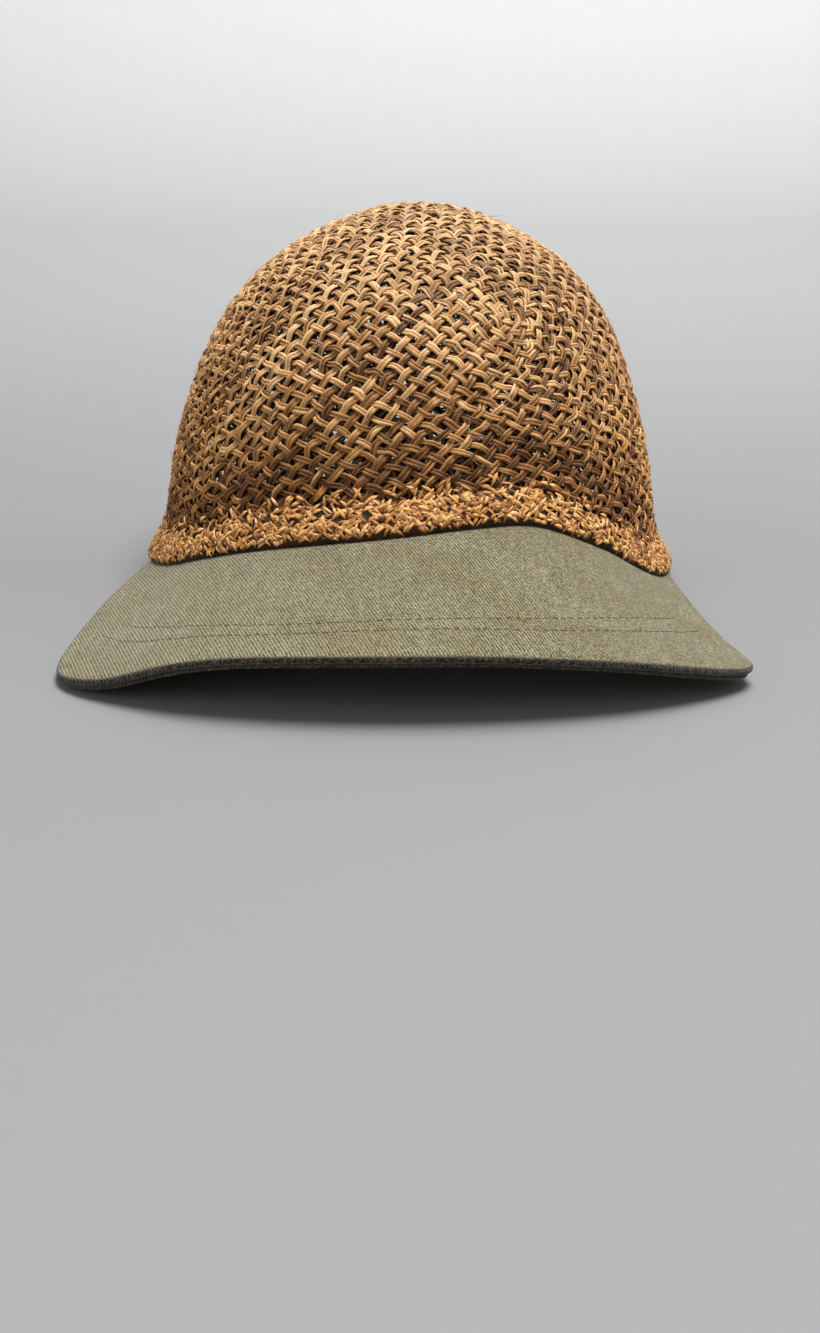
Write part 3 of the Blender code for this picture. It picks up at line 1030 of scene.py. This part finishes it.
def holes_of_net():
    corner = np.arange(len(net))
    right = beside[:, 0]
    up = beside[:, 1]
    across = diagonals()[:, 0]
    whole = (right >= 0) & (up >= 0) & (across >= 0)
    middle = (net[corner] + net[right] + net[up] + net[across])[whole] / 4
    slant = unit(net[across] - net[corner])[whole]
    other = unit(net[up] - net[right])[whole]
    return middle, slant, other


def turn_about(vectors, axes, angles):
    c = np.cos(angles)[:, None]
    s = np.sin(angles)[:, None]
    along = (vectors * axes).sum(1, keepdims=True)
    return vectors * c + np.cross(axes, vectors) * s + axes * along * (1 - c)


def splice_points():
    middle, slant, other = holes_of_net()
    outward = outward_of(middle)
    above = middle[:, 2] > foot_below(middle) + SPLICE_ABOVE_FOOT
    count = int(above.sum())
    way = np.where(rng.random(len(middle))[:, None] < 0.5, slant, other)
    way = turn_about(way, outward, rng.normal(0, SPLICE_TURN, len(way)))
    deep = SPLICE_DEPTH + rng.normal(0, SPLICE_SLIP[0], len(way))
    place = onto_crown(middle) - outward * deep[:, None]
    place += slant * rng.normal(0, SPLICE_SLIP[1], (len(way), 1))
    stretch = rng.uniform(*SPLICE_STRETCH, count)
    size = np.stack([stretch, rng.uniform(*SPLICE_WIDENING, count), np.ones(count)], 1)
    tone = np.clip(rng.normal(*SPLICE_TONE, count), 0, 1)
    return place[above], outward[above], way[above], size, tone


# The spliced ends are painted dark, as painted shade in the holes of the weave.
shaded_splice_straw = build_straw_material("shaded_splice_straw", SHADED_SPLICE_STRAW)
splices = lay("spliced_ends", bent_bar("splice", **SPLICE_BAR), shaded_splice_straw, *splice_points())
hand_over(splices, "crown")

# %% [markdown]
# Straw frays. Thin fibres stand off the hood all over, most clearly against the light along its outline, and
# here and there a thicker end has come loose. Each is a short line that starts in the weave and lifts away
# from it, and the same tree sweeps them.

# %% Stray fibres and loose ends
STRAYS = 230
LOOSE_ENDS = 26
STRAY_POINTS = 6
STRAY_SIDES = 4
STRAY_ABOVE_FOOT = 9.0
THIN_STRAY = {"reach": (4.0, 9.0), "lift": (0.5, 2.2), "width": (0.07, 0.12)}
LOOSE_END = {"reach": (3.0, 5.5), "lift": (0.4, 1.3), "width": (0.30, 0.45)}
STRAY_TONE = (0.45, 1.0)
STRAY_SWERVE = 0.35
STRAY_BEND = 1.0
STRAY_ROOT = 0.5


def stray_bundle():
    bundle = new_bundle()
    high = np.flatnonzero((net[:, 2] > foot_below(net) + STRAY_ABOVE_FOOT) & (beside >= 0).all(1))
    share = np.linspace(0, 1, STRAY_POINTS)
    squared = (share**2)[:, None]
    for number in range(STRAYS + LOOSE_ENDS):
        style = THIN_STRAY if number < STRAYS else LOOSE_END
        spot = rng.choice(high)
        outward = net_outward[spot]
        way = unit(net[beside[spot, rng.integers(4)]] - net[spot])
        way = unit(way + np.cross(outward, way) * rng.normal(0, STRAY_SWERVE))
        reach = rng.uniform(*style["reach"])
        lift = rng.uniform(*style["lift"])
        bend = np.cross(outward, way) * rng.normal(0, STRAY_BEND)
        place = net[spot] + way * reach * share[:, None]
        place = place + outward * (lift * squared - STRAY_ROOT) + bend * squared
        width = rng.uniform(*style["width"])
        size = np.stack([width * (1.1 - 0.7 * share), width * (1.0 - 0.6 * share), 0 * share], 1)
        tone = np.full(STRAY_POINTS, rng.uniform(*STRAY_TONE))
        sideways = unit(np.cross(outward, way))
        add_run(bundle, place, np.tile(outward, (STRAY_POINTS, 1)), np.tile(sideways, (STRAY_POINTS, 1)),
                size, tone, reach * share + rng.uniform(0, STREAK_OFFSET))
    return bundle


sweep_straw(stray_bundle(), STRAY_SIDES, "stray_fibres")

# %% [markdown]
# The hem is the hood's own straw, turned up and stitched flat until it is a thick dense band. From close by
# it is a jumble of short chips in brighter orange, some standing a little off. A copy of the CAD hem is the
# body of the band, in straw painted dark as the shade between the chips. Chips are then laid all over its
# outer face, and thin out above its top edge, so that the band has no sharp border. The lowest strip stays
# bare, and its painted dark reads as the shadow line under the hem.

# %% Body of the hem
HEM_STRAW = (
    (0.075, 0.023, 0.006, 1),
    (0.45, 0.185, 0.045, 1),
    (0.90, 0.48, 0.155, 1),
    (0.96, 0.64, 0.31, 1),
)
HEM_GRAIN = (1000.0, 700.0)
# Painted shade: this puts the hem's body into the straw's painted inner shade.
HEM_SHADE_GRAIN = -0.75


def merged_copy(node):
    bm = bmesh.new()
    bm.from_mesh(nodes[node].data)
    bmesh.ops.remove_doubles(bm, verts=bm.verts, dist=1e-6)
    bmesh.ops.recalc_face_normals(bm, faces=bm.faces)
    return bm


def mesh_object(bm, name):
    mesh = bpy.data.meshes.new(name)
    bm.to_mesh(mesh)
    bm.free()
    return put_in_scene(name, mesh)


def soften(mesh, material):
    for face in mesh.polygons:
        face.use_smooth = True
    mesh.materials.clear()
    mesh.materials.append(material)


def read_points(mesh, field):
    values = np.zeros(len(mesh.vertices) * 3, np.float32)
    mesh.vertices.foreach_get(field, values)
    return values.reshape(-1, 3)


hem_straw = build_straw_material("hem_straw", HEM_STRAW)
hem_body = mesh_object(merged_copy("crown_hem"), "hem_body")
hem_places = read_points(hem_body.data, "co")
flat_zero = np.zeros(len(hem_places))
# The hem's body gets the darkest tone and the painted inner shade, as shade between the chips.
write_attributes(hem_body.data, {
    "tone": flat_zero,
    "grain": np.stack([flat_zero, flat_zero + HEM_SHADE_GRAIN, hem_places[:, :2] @ HEM_GRAIN], 1),
})
soften(hem_body.data, hem_straw)
hand_over(hem_body, "crown_hem")

# %% Chips of the hem
HEM_CHIPS = 5000
HEM_REACH = 8.7
HEM_FADE = 6.0
FADE_START = 0.50
FADE_POWER = 1.5
# The bare strip at the hem's foot, where the dark body shows as a painted shadow line.
BARE_SHADOW_STRIP = 1.1
CHIP_BAR = {"length": 3.4, "width": 1.12, "thick": 0.50, "arch": 0.42, "spans": 3, "sides": 4}
CHIP_SLANTS = (-34.0, 48.0)
SLANT_VARIES = 16.0
CHIP_CLEARANCE = 0.15
CHIP_TONE = (0.52, 0.29)
CHIP_STRETCH = (0.65, 1.35)
CHIP_WIDENING = (0.75, 1.25)
CHIP_THICKENING = (0.8, 1.2)
CHIP_DEPTHS = (-0.10, 0.22)
CHIP_TILT = 0.09
FOOT_SEARCH = (-1.0, 60.0)
WALL_FROM = 160.0
WALL_REACH = 0.13

hem_tree = BVHTree.FromPolygons(*triangles_of("crown_hem"))
crown_tree = BVHTree.FromPolygons(*triangles_of("crown"))


def wall_at(around, height):
    """The outer face of hem or crown at one bearing and height: its place and its outward normal."""
    out = np.array([math.sin(around), -math.cos(around), 0.0])
    start = INSIDE * (1, 1, 0) + out * WALL_FROM + (0, 0, height)
    best = None
    for tree in (hem_tree, crown_tree):
        hit, normal, _, far = tree.ray_cast(Vector(start * MM), Vector(-out), WALL_REACH)
        if hit is not None and (best is None or far < best[2]):
            best = (np.array(hit) / MM, np.array(normal), far)
    return best


def edge_between(missing, found, rounds, look):
    """Halve the way between a place where look finds nothing and one where it finds the piece."""
    for _ in range(rounds):
        middle = (missing + found) / 2
        if look(middle) is None:
            missing = middle
        else:
            found = middle
    return found


def hem_foot(around):
    return edge_between(*FOOT_SEARCH, 12, lambda height: wall_at(around, height))


hem_feet = np.array([hem_foot(around) for around in AROUND])
print("the hem's foot lies", hem_feet.min().round(1), "to", hem_feet.max().round(1), "mm up")

# %% Lay the chips of the hem


def hem_chips():
    laid = []
    while len(laid) < HEM_CHIPS:
        around = rng.uniform(-math.pi, math.pi)
        up = rng.uniform(BARE_SHADOW_STRIP, HEM_REACH + HEM_FADE)
        fade = (up - HEM_REACH) / HEM_FADE
        if up > HEM_REACH and rng.random() > FADE_START * (1 - fade) ** FADE_POWER:
            continue
        slant = math.radians(rng.choice(CHIP_SLANTS) + rng.normal(0, SLANT_VARIES))
        stretch = rng.uniform(*CHIP_STRETCH)
        if up - stretch * CHIP_BAR["length"] / 2 * abs(math.sin(slant)) < CHIP_CLEARANCE:
            continue
        spot = wall_at(around, np.interp(around, AROUND, hem_feet) + up)
        if spot is None:
            continue
        point, normal, _ = spot
        ring = unit(np.cross((0, 0, 1), normal))
        way = ring * math.cos(slant) + np.cross(normal, ring) * math.sin(slant)
        laid.append((
            point + normal * rng.uniform(*CHIP_DEPTHS),
            unit(normal + way * rng.normal(0, CHIP_TILT)),
            way,
            (stretch, rng.uniform(*CHIP_WIDENING), rng.uniform(*CHIP_THICKENING)),
            np.clip(rng.normal(*CHIP_TONE), 0, 1),
        ))
    return columns(laid)


chips = lay("hem_chips", bent_bar("chip", **CHIP_BAR), hem_straw, *hem_chips())
hand_over(chips, "crown_hem")

# %% [markdown]
# The peak is a stiff board under olive twill, which is pulled round its edge. The CAD peak already has the
# right form, in flat triangles. A copy of it is turned back into four-sided faces and smoothed by
# subdivision, so that the edge rolls as cloth does. A cloth pattern must not be stretched where the peak
# bends down at the sides, so each point also gets its place on the flat cloth: how far it is across,
# measured along the bend, and how far back.

# %% Measure the peak for its cloth
CLOTH_ROW = -0.095
SKY = 0.2
DROP = 0.4
BEND_XS = np.arange(-88, 88.1, 2.0)
EDGE_XS = np.arange(-92.0, 92.1, 4.0)
EDGE_SEARCH = (-0.150, -0.060)


def top_of(tree, x, y):
    hit, normal = tree.ray_cast(Vector((x, y, SKY)), Vector((0, 0, -1)), DROP)[:2]
    return None if hit is None else (np.array(hit) / MM, np.array(normal))


def bend_table():
    tops = [top_of(peak_tree, x * MM, CLOTH_ROW) for x in BEND_XS]
    zs = np.array([top[0][2] if top else 0.0 for top in tops])
    across = arc_along(np.stack([BEND_XS, zs], 1))
    return across - np.interp(0, BEND_XS, across)


peak_tree = BVHTree.FromPolygons(*triangles_of("peak"))
bend_across = bend_table()
edge_y = np.array([
    edge_between(*EDGE_SEARCH, 14, lambda y: top_of(peak_tree, x * MM, y)) / MM for x in EDGE_XS])
print("cloth across the peak:", round(float(bend_across[-1] - bend_across[0]), 1), "mm")

# %% Smooth copy of the peak
PEAK_LEVELS = 2
FLAT_ANGLE = 0.8
SQUARE_ANGLE = 1.2
# Where the edge's painted shade lies: near the front edge and the sides, on faces that turn down.
RIM_BEHIND_EDGE = (1.4, 4.5)
RIM_SIDES = (88, 91)
RIM_TURN = (0.45, 0.9)
RIM_DROP = 2.0


def across_cloth(x):
    return np.interp(x, BEND_XS, bend_across) + x - np.clip(x, BEND_XS[0], BEND_XS[-1])


def smooth_copy(node, name):
    bm = merged_copy(node)
    bmesh.ops.join_triangles(bm, faces=bm.faces, angle_face_threshold=FLAT_ANGLE,
                             angle_shape_threshold=SQUARE_ANGLE)
    source = mesh_object(bm, name)
    smoothing = source.modifiers.new("smoothing", "SUBSURF")
    smoothing.levels = PEAK_LEVELS
    smoothing.render_levels = PEAK_LEVELS
    graph = bpy.context.evaluated_depsgraph_get()
    fine = bpy.data.meshes.new_from_object(source.evaluated_get(graph), depsgraph=graph)
    bpy.data.objects.remove(source)
    fine.name = name
    return put_in_scene(name, fine)


def mark_cloth(mesh):
    spots = read_points(mesh, "co") / MM
    normals = read_points(mesh, "normal")
    from_edge = spots[:, 1] - np.interp(spots[:, 0], EDGE_XS, edge_y)
    near_edge = 1 - smooth_step(from_edge, *RIM_BEHIND_EDGE)
    near_side = smooth_step(np.abs(spots[:, 0]), *RIM_SIDES)
    turned_down = 1 - smooth_step(normals[:, 2], *RIM_TURN)
    back = spots[:, 1] - turned_down * RIM_DROP
    # This also marks the turned-down edge, which gets painted shade.
    write_attributes(mesh, {
        "cloth": np.stack([across_cloth(spots[:, 0]), back, 0 * back], 1),
        "rim_shade": turned_down * np.maximum(near_edge, near_side),
    })


peak = smooth_copy("peak", "peak_cloth")
peak_under = smooth_copy("peak_underside", "peak_under_cloth")
mark_cloth(peak.data)
mark_cloth(peak_under.data)
print("peak cloth:", len(peak.data.polygons), "faces")

# %% [markdown]
# Twill is woven so that its raised threads step sideways from row to row, which shows as slanting ribs. Here
# the ribs run almost from back to front, a little under a millimetre apart. The threads are a mix of light
# and dark yarn, so each crossing of threads gets a brightness of its own, and patches of the cloth are a
# little warmer or greyer than others. The edge that turns down is painted dark, as painted shade.

# %% Material: olive twill
RIB_PITCH = 0.88
RIB_SLANT = math.radians(-18.0)
RIB_WOBBLE = 1.2
PICK_PITCH = 0.62
YARN_CELL = (0.44, 0.50, 1.0)
SLUB_STRETCH = (0.55, 0.05, 1.0)
TWILL_DARK = (0.030, 0.027, 0.015, 1)
TWILL_MID = (0.176, 0.154, 0.077, 1)
TWILL_LIGHT = (0.60, 0.53, 0.31, 1)
TWILL_WARM = (0.80, 0.72, 0.46, 1)
# Painted shade on the turned-down edge, with lighter specks in it.
TWILL_RIM_SHADE = (0.009, 0.0065, 0.004, 1)
RIM_SHADE_SPECKLE = (0.13, 0.10, 0.058, 1)
RIM_SPECKLES = 1300.0
RIM_SPECKLE_RANGE = (0.42, 0.72)
TWILL_MIX = (0.85, 0.52, 0.45, 0.20)
TWILL_OFFSET = 0.32
TWILL_STOPS = ((0.1, TWILL_DARK), (0.48, TWILL_MID), (0.88, TWILL_LIGHT))
WARM_PATCHES = 0.045
WARM_RANGE = (0.4, 0.62)
WARM_SHARE = 0.5
TWILL_BUMP = (1.0, 0.00028)


def zero_to_one(tree, phase):
    half_wave = scalar_math(tree, "MULTIPLY", scalar_math(tree, "SINE", phase), 0.5)
    return scalar_math(tree, "ADD", half_wave, 0.5)


def build_twill(name):
    material, tree = start_material(name)
    cloth = attribute(tree, "cloth", "Vector")
    rim_shade = attribute(tree, "rim_shade", "Fac")
    turned_cloth = add_node(tree, "ShaderNodeVectorRotate", {"rotation_type": "Z_AXIS"}, {
        "Vector": cloth, "Angle": RIB_SLANT}).outputs["Vector"]
    across = parts_of(tree, turned_cloth)
    wobble = noise(tree, cloth, 0.35, 2.0)
    phase = weighted(tree, (across["X"], 2 * math.pi / RIB_PITCH), (wobble, RIB_WOBBLE))
    picks = weighted(tree, (across["Y"], 2 * math.pi / PICK_PITCH), (phase, 0.5))
    raised = scalar_math(tree, "MULTIPLY", zero_to_one(tree, phase), zero_to_one(tree, picks))
    yarn = add_node(tree, "ShaderNodeTexWhiteNoise", {"noise_dimensions": "3D"}, {
        "Vector": vector_math(tree, "SNAP", turned_cloth, YARN_CELL)}).outputs["Value"]
    fine = noise(tree, cloth, 3.4, 2.0)
    slubs = noise(tree, vector_math(tree, "MULTIPLY", cloth, SLUB_STRETCH), 1.0, 2.0)
    tone = weighted(tree, *zip((raised, yarn, fine, slubs), TWILL_MIX))
    tone = scalar_math(tree, "SUBTRACT", tone, TWILL_OFFSET, clamp=True)
    colour = colour_ramp(tree, tone, TWILL_STOPS)
    warm = map_range(tree, noise(tree, cloth, WARM_PATCHES, 3.0), *WARM_RANGE, 0.0, WARM_SHARE)
    colour = mix_colour(tree, warm, colour, TWILL_WARM, "MULTIPLY")
    grains = noise(tree, object_place(tree), RIM_SPECKLES, 1.0)
    speckle = map_range(tree, grains, *RIM_SPECKLE_RANGE, 0.0, 1.0)
    # Painted shade on the turned-down edge of the cloth.
    shaded_rim = mix_colour(tree, speckle, TWILL_RIM_SHADE, RIM_SHADE_SPECKLE)
    set_shader(tree, {
        "Base Color": mix_colour(tree, rim_shade, colour, shaded_rim),
        "Normal": bumped(tree, weighted(tree, (raised, 1.0), (yarn, 0.35)), *TWILL_BUMP),
        "Roughness": 0.92,
        "Specular IOR Level": 0.2,
        "Sheen Weight": 0.25,
        "Sheen Roughness": 0.5,
    })
    return material


soften(peak.data, build_twill("olive_twill"))
soften(peak_under.data, build_twill("under_twill"))
hand_over(peak, "peak")
hand_over(peak_under, "peak_underside")

# %% [markdown]
# The cloth under the peak is one flat crescent before it is sewn in. It is cut from a rectangle as wide as
# the peak is along its bend, and as deep as from the front edge to the ends beside the crown. It could be
# draped, but it is stretched flat against the board, so the smooth copy already has its form.

# %% [markdown]
# Two rows of stitches cross the peak and hold the board. They follow curves that bend more than the front
# edge does, so the rows draw away from it towards the sides. Each row is worked out as a line of points, one
# for each stitch, dropped on to the peak's cloth, and the tree lays one short dark thread on each point.

# %% Stitches of the peak
STITCH_PITCH = 2.55
STITCH_BAR = {"length": 1.85, "width": 0.32, "thick": 0.22, "arch": 0.05, "spans": 4, "sides": 6}
STITCH_ROWS = (
    {"middle": -117.5, "rise": 10.3, "rise_at": 49.5, "end": 77.0},
    {"middle": -123.2, "rise": 7.6, "rise_at": 48.0, "end": 84.0},
)
ROW_POWER = 3.2
ROW_SAMPLES = 800
ABOVE_CLOTH = 0.03
STITCH_STRAY = 0.06
STITCH_STRETCH = (0.88, 1.08)
STITCH_WIDENING = (0.85, 1.15)
STITCH_TONE = (0.2, 0.8)
THREAD_DARK = (0.020, 0.016, 0.011, 1)
THREAD_LIGHT = (0.060, 0.048, 0.034, 1)
THREAD_WORN = (0.11, 0.09, 0.06, 1)

cloth_tree = BVHTree.FromPolygons(
    [vertex.co[:] for vertex in peak.data.vertices],
    [face.vertices[:] for face in peak.data.polygons],
)


def row_on_cloth(middle, rise, rise_at, end):
    xs = np.linspace(-end, end, ROW_SAMPLES)
    ys = middle + rise * (np.abs(xs) / rise_at) ** ROW_POWER
    tops = [top_of(cloth_tree, x * MM, y * MM) for x, y in zip(xs, ys)]
    tops = [top for top in tops if top]
    return np.array([spot for spot, _ in tops]), np.array([normal for _, normal in tops])


def stitch_points():
    laid = []
    for row in STITCH_ROWS:
        spots, normals = row_on_cloth(**row)
        run = arc_along(spots)
        for far in np.arange(0.5, run[-1] - 1, STITCH_PITCH):
            here = read_along(far, run, spots)
            normal = unit(read_along(far, run, normals))
            way = unit(read_along(far + 1, run, spots) - here)
            laid.append((
                here + normal * ABOVE_CLOTH + np.cross(normal, way) * rng.normal(0, STITCH_STRAY),
                normal,
                way,
                (rng.uniform(*STITCH_STRETCH), rng.uniform(*STITCH_WIDENING), 1.0),
                rng.uniform(*STITCH_TONE),
            ))
    return columns(laid)


def build_thread():
    material, tree = start_material("stitch_thread")
    twist = add_node(tree, "ShaderNodeTexWave", {"bands_direction": "DIAGONAL"}, {
        "Vector": attribute(tree, "grain", "Vector"), "Scale": 1.4, "Distortion": 1.0})
    colour = mix_colour(tree, twist.outputs["Fac"], THREAD_DARK, THREAD_LIGHT)
    worn = scalar_math(tree, "MULTIPLY", attribute(tree, "tone", "Fac"), 0.3)
    set_shader(tree, {"Base Color": mix_colour(tree, worn, colour, THREAD_WORN), "Roughness": 0.7})
    return material


stitches = lay("peak_stitches", bent_bar("stitch", **STITCH_BAR), build_thread(), *stitch_points())
hand_over(stitches)

# %% [markdown]
# The set is plain: a pale floor that goes on behind the cap and bends up, and soft light from a large lamp
# above. The paper's grey is painted light: darkest near the cap, and lighter with distance.

# %% Floor
SWEEP_FRONT = -3.0
SWEEP_START = 0.75
SWEEP_RADIUS = 0.9
SWEEP_TOP = 3.0
SWEEP_STEPS = 24
FLOOR_HALF = 4.0
FLOOR_DEPTHS = (-3.0, 2.0)
# Painted light: the floor's grey changes with depth, and is darkest near the cap.
FLOOR_PAINTED_LIGHT = (
    (0.25, (0.80, 0.80, 0.80, 1)),
    (0.46, (0.34, 0.34, 0.34, 1)),
    (0.604, (0.245, 0.245, 0.248, 1)),
    (0.658, (0.285, 0.285, 0.287, 1)),
    (0.82, (0.45, 0.45, 0.45, 1)),
    (0.931, (0.86, 0.857, 0.85, 1)),
)


def sweep_profile():
    points = [(SWEEP_FRONT, 0.0), (SWEEP_START, 0.0)]
    for step in range(1, SWEEP_STEPS + 1):
        turn = math.pi / 2 * step / SWEEP_STEPS
        points.append((SWEEP_START + SWEEP_RADIUS * math.sin(turn), SWEEP_RADIUS * (1 - math.cos(turn))))
    points.append((SWEEP_START + SWEEP_RADIUS, SWEEP_TOP))
    return points


def build_floor_material():
    material, tree = start_material("pale_floor")
    depth = map_range(tree, parts_of(tree, object_place(tree))["Y"], *FLOOR_DEPTHS, 0.0, 1.0)
    set_shader(tree, {
        "Base Color": colour_ramp(tree, depth, FLOOR_PAINTED_LIGHT),
        "Roughness": 0.9,
        "Specular IOR Level": 0.2,
    })
    return material


profile = sweep_profile()
corners = [(side * FLOOR_HALF, y, z) for y, z in profile for side in (-1, 1)]
strips = [(2 * i, 2 * i + 1, 2 * i + 3, 2 * i + 2) for i in range(len(profile) - 1)]
floor_mesh = bpy.data.meshes.new("floor")
floor_mesh.from_pydata(corners, [], strips)
soften(floor_mesh, build_floor_material())
floor = put_in_scene("floor", floor_mesh)
print("floor strips:", len(strips))

# %% Light
LAMPS = (
    {"name": "key", "place": (0.25, -0.15, 1.25), "aim": (0, -0.02, 0.05), "size": 0.7, "power": 17},
    {"name": "fill", "place": (-1.1, -1.2, 0.7), "aim": (0, 0, 0.05), "size": 1.0, "power": 4},
    {"name": "backdrop_lamp", "place": (0.3, 0.7, 2.2), "aim": (0.3, 1.6, 0.9), "size": 1.2, "power": 30},
)
SKY_COLOUR = (0.85, 0.87, 0.9, 1)
SKY_STRENGTH = 0.38


def soft_lamp(name, place, aim, size, power):
    data = bpy.data.lights.new(name, "AREA")
    data.shape = "DISK"
    data.size = size
    data.energy = power
    lamp = put_in_scene(name, data)
    lamp.location = place
    lamp.rotation_euler = (Vector(aim) - Vector(place)).to_track_quat("-Z", "Y").to_euler()


for lamp in LAMPS:
    soft_lamp(**lamp)
world = bpy.data.worlds.new("world")
world.use_nodes = True
plug(world.node_tree, world.node_tree.nodes["Background"].inputs["Color"], SKY_COLOUR)
plug(world.node_tree, world.node_tree.nodes["Background"].inputs["Strength"], SKY_STRENGTH)
bpy.context.scene.world = world
bpy.context.scene.view_settings.view_transform = "Standard"
print("lamps:", len(LAMPS))
